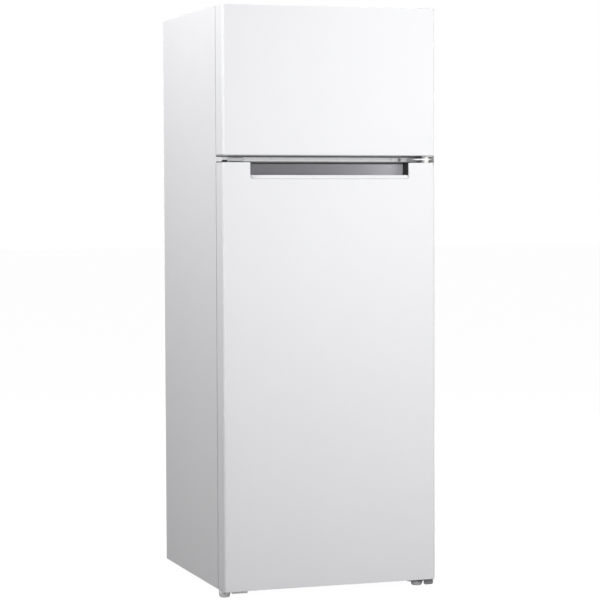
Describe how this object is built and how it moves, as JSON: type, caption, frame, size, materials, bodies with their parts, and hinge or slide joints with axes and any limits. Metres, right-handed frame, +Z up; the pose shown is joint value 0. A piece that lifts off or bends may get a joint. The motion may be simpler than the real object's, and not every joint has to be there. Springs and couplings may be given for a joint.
{
  "type": "top freezer refrigerator",
  "caption": "Free-standing upright refrigerator with a freezer compartment and its own door above a larger fridge compartment, a recessed grip between the doors and a rear condenser.",
  "frame": {"origin": "on the floor, under the middle of the whole footprint from the door fronts to the rear condenser", "axes": "+X to the right seen from the front, +Y to the back, +Z up; the doors face -Y"},
  "size_m": [0.545, 0.555, 1.4339],
  "materials": {
    "white_paint": "gloss",
    "white_plastic": "gloss",
    "liner_plastic": "satin",
    "satin_white_plastic": "satin",
    "crossrail_paint": "satin",
    "grip_grey": "satin",
    "gasket_vinyl": "matte",
    "foam": "matte",
    "shelf_glass": "gloss",
    "clear_plastic": "gloss",
    "lamp_plastic": "satin",
    "zinc_steel": "satin",
    "hinge_paint": "satin",
    "dark_hinge_paint": "satin",
    "black_paint": "satin",
    "copper": "satin",
    "aluminium": "satin",
    "black_plastic": "matte",
    "black_rubber": "matte",
    "foot_grey": "satin",
    "bracket_grey": "satin",
    "nylon": "satin"
  },
  "bodies": {
    "cabinet": {"cabinet_shell": "white_paint", "rear_panel": "white_paint", "base_pan": "white_paint", "centre_crossrail": "crossrail_paint", "crossrail_plugs": "satin_white_plastic", "cabinet_foam": "foam", "fridge_liner": "liner_plastic", "freezer_liner": "liner_plastic", "freezer_evaporator": "aluminium", "condenser_tube": "black_paint", "condenser_wires": "black_paint", "condenser_brackets": "black_plastic", "compressor": "black_paint", "compressor_grommets": "black_rubber", "compressor_plate": "zinc_steel", "start_relay_box": "black_plastic", "mains_gland": "black_rubber", "refrigerant_tubes": "copper", "evaporation_tray": "black_plastic", "drain_tube": "satin_white_plastic", "thermostat_housing": "satin_white_plastic", "lamp_cover": "lamp_plastic", "lamp_bulb": "lamp_plastic", "lamp_switch_housing": "satin_white_plastic", "glass_shelves": "shelf_glass", "shelf_trims": "satin_white_plastic", "crisper_cover": "shelf_glass", "freezer_shelf": "satin_white_plastic", "top_hinge": "hinge_paint", "middle_hinge": "hinge_paint", "bottom_hinge": "dark_hinge_paint", "hinge_screws": "zinc_steel", "left_foot_bracket": "bracket_grey", "roller_brackets": "zinc_steel", "roller_axles": "zinc_steel"},
    "freezer_door": {"freezer_door_skin": "white_paint", "freezer_door_caps": "white_plastic", "freezer_door_foam": "foam", "freezer_door_liner": "liner_plastic", "freezer_door_gasket": "gasket_vinyl", "freezer_door_bushes": "nylon"},
    "freezer_rack": {"freezer_door_rack": "clear_plastic"},
    "fridge_door": {"fridge_door_skin": "white_paint", "fridge_door_caps": "white_plastic", "fridge_door_foam": "foam", "fridge_door_liner": "liner_plastic", "fridge_door_gasket": "gasket_vinyl", "fridge_door_bushes": "nylon", "handle_pocket": "grip_grey", "handle_lip": "white_plastic"},
    "upper_rack": {"upper_door_rack": "clear_plastic"},
    "middle_rack": {"middle_door_rack": "clear_plastic"},
    "lower_rack": {"bottle_rack": "clear_plastic"},
    "crisper": {"crisper_drawer": "clear_plastic"},
    "knob": {"thermostat_knob": "satin_white_plastic"},
    "switch_plunger": {"lamp_switch_plunger": "white_plastic"},
    "left_roller": {"rear_left_roller": "black_plastic"},
    "right_roller": {"rear_right_roller": "black_plastic"},
    "left_foot": {"front_left_foot": "foot_grey"},
    "right_foot": {"front_right_foot": "foot_grey"}
  },
  "joints": [
    {"name": "freezer_door_swing", "type": "hinge", "parent": "cabinet", "child": "freezer_door", "pos_m": [0.2565, -0.2515, 1.2], "axis": [0, 0, 1], "range_deg": [0, 135]},
    {"name": "fridge_door_swing", "type": "hinge", "parent": "cabinet", "child": "fridge_door", "pos_m": [0.2565, -0.2515, 0.5], "axis": [0, 0, 1], "range_deg": [0, 135]},
    {"name": "freezer_rack_lift", "type": "slide", "parent": "freezer_door", "child": "freezer_rack", "axis": [0, 0, 1], "range_m": [0, 0.03]},
    {"name": "upper_rack_lift", "type": "slide", "parent": "fridge_door", "child": "upper_rack", "axis": [0, 0, 1], "range_m": [0, 0.03]},
    {"name": "middle_rack_lift", "type": "slide", "parent": "fridge_door", "child": "middle_rack", "axis": [0, 0, 1], "range_m": [0, 0.03]},
    {"name": "bottle_rack_lift", "type": "slide", "parent": "fridge_door", "child": "lower_rack", "axis": [0, 0, 1], "range_m": [0, 0.03]},
    {"name": "crisper_drawer_slide", "type": "slide", "parent": "cabinet", "child": "crisper", "axis": [0, -1, 0], "range_m": [0, 0.015]},
    {"name": "thermostat_knob_turn", "type": "hinge", "parent": "cabinet", "child": "knob", "pos_m": [0.19, 0.045, 0.952], "axis": [1, 0, 0], "range_deg": [-135, 135]},
    {"name": "lamp_switch_travel", "type": "slide", "parent": "cabinet", "child": "switch_plunger", "axis": [0, -1, 0], "range_m": [0, 0.008]},
    {"name": "left_roller_spin", "type": "hinge", "parent": "cabinet", "child": "left_roller", "pos_m": [-0.225, 0.2255, 0.015], "axis": [1, 0, 0], "continuous": true},
    {"name": "right_roller_spin", "type": "hinge", "parent": "cabinet", "child": "right_roller", "pos_m": [0.225, 0.2255, 0.015], "axis": [1, 0, 0], "continuous": true},
    {"name": "left_foot_height", "type": "slide", "parent": "cabinet", "child": "left_foot", "axis": [0, 0, -1], "range_m": [0, 0.005]},
    {"name": "right_foot_height", "type": "slide", "parent": "cabinet", "child": "right_foot", "axis": [0, 0, -1], "range_m": [0, 0.005]}
  ],
  "couplings": [
    {"joint": "lamp_switch_travel", "follows": "fridge_door_swing", "m_per_rad": 0.003395}
  ]
}
